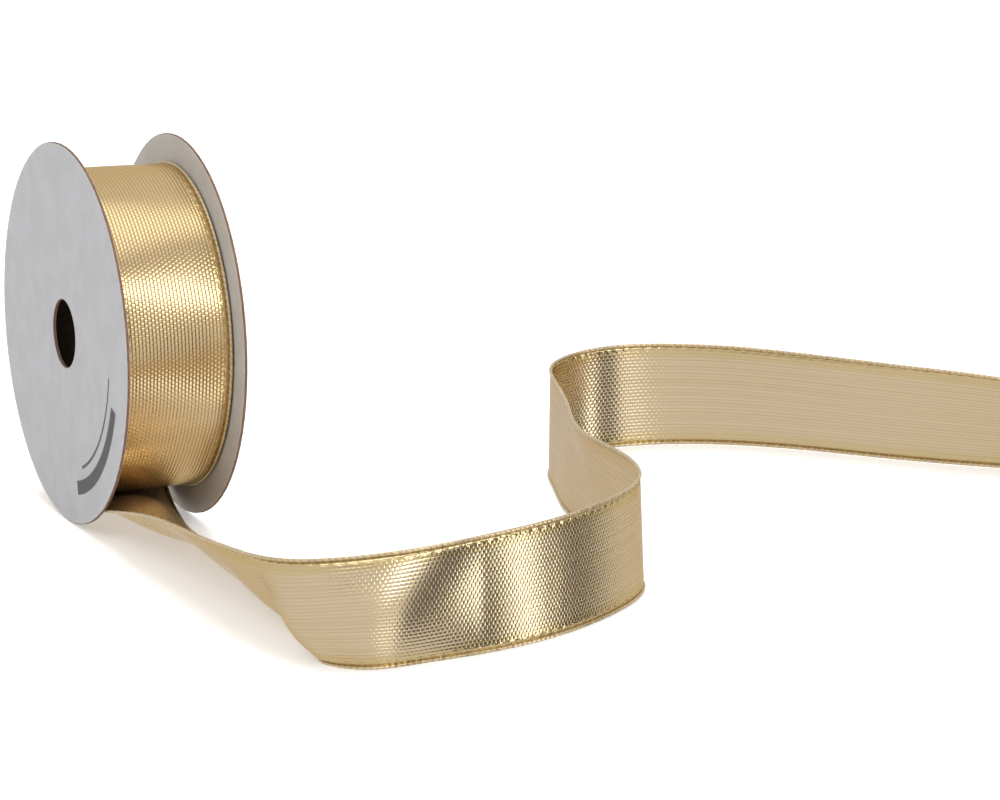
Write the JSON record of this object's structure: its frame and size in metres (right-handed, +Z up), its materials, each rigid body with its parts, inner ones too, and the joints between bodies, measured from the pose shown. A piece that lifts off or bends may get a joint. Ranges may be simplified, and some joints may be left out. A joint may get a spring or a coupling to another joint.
{
  "type": "ribbon spool",
  "caption": "Card-flanged reel of gold metallic wire-edged gift ribbon standing on its rims, with the free tail laid out in an S on edge.",
  "frame": {"origin": "on the table below the middle of the whole object's box, spool and free tail together", "axes": "+X along the spool's axis from the open-view flange towards the ribbon's free end, +Z up, -Y towards the side where the ribbon leaves the pack"},
  "size_m": [0.2274, 0.1822, 0.0829],
  "materials": {
    "kraft_board": "raw brown board edge",
    "grey_paper": "smooth matt coated paper",
    "core_card": "spiral-wound raw card",
    "tape": "clear adhesive tape",
    "gold_ribbon": "woven metallic yarn, satin gold",
    "gold_selvedge": "stitched metallic yarn over thin wire"
  },
  "bodies": {
    "ribbon": {"ribbon_tail": "gold_ribbon", "lower_edge_wire": "gold_selvedge", "upper_edge_wire": "gold_selvedge"},
    "reel": {"left_face_paper": "grey_paper", "left_flange_board": "kraft_board", "left_liner_paper": "grey_paper", "right_face_paper": "grey_paper", "right_flange_board": "kraft_board", "right_liner_paper": "grey_paper", "core_tube": "core_card", "start_tape": "tape", "wound_ribbon": "gold_ribbon"}
  },
  "joints": [
    {"name": "reel_turn", "type": "hinge", "parent": "ribbon", "child": "reel", "pos_m": [-0.09906, 0.0496, 0.04146], "axis": [1, 0, 0], "continuous": true}
  ]
}
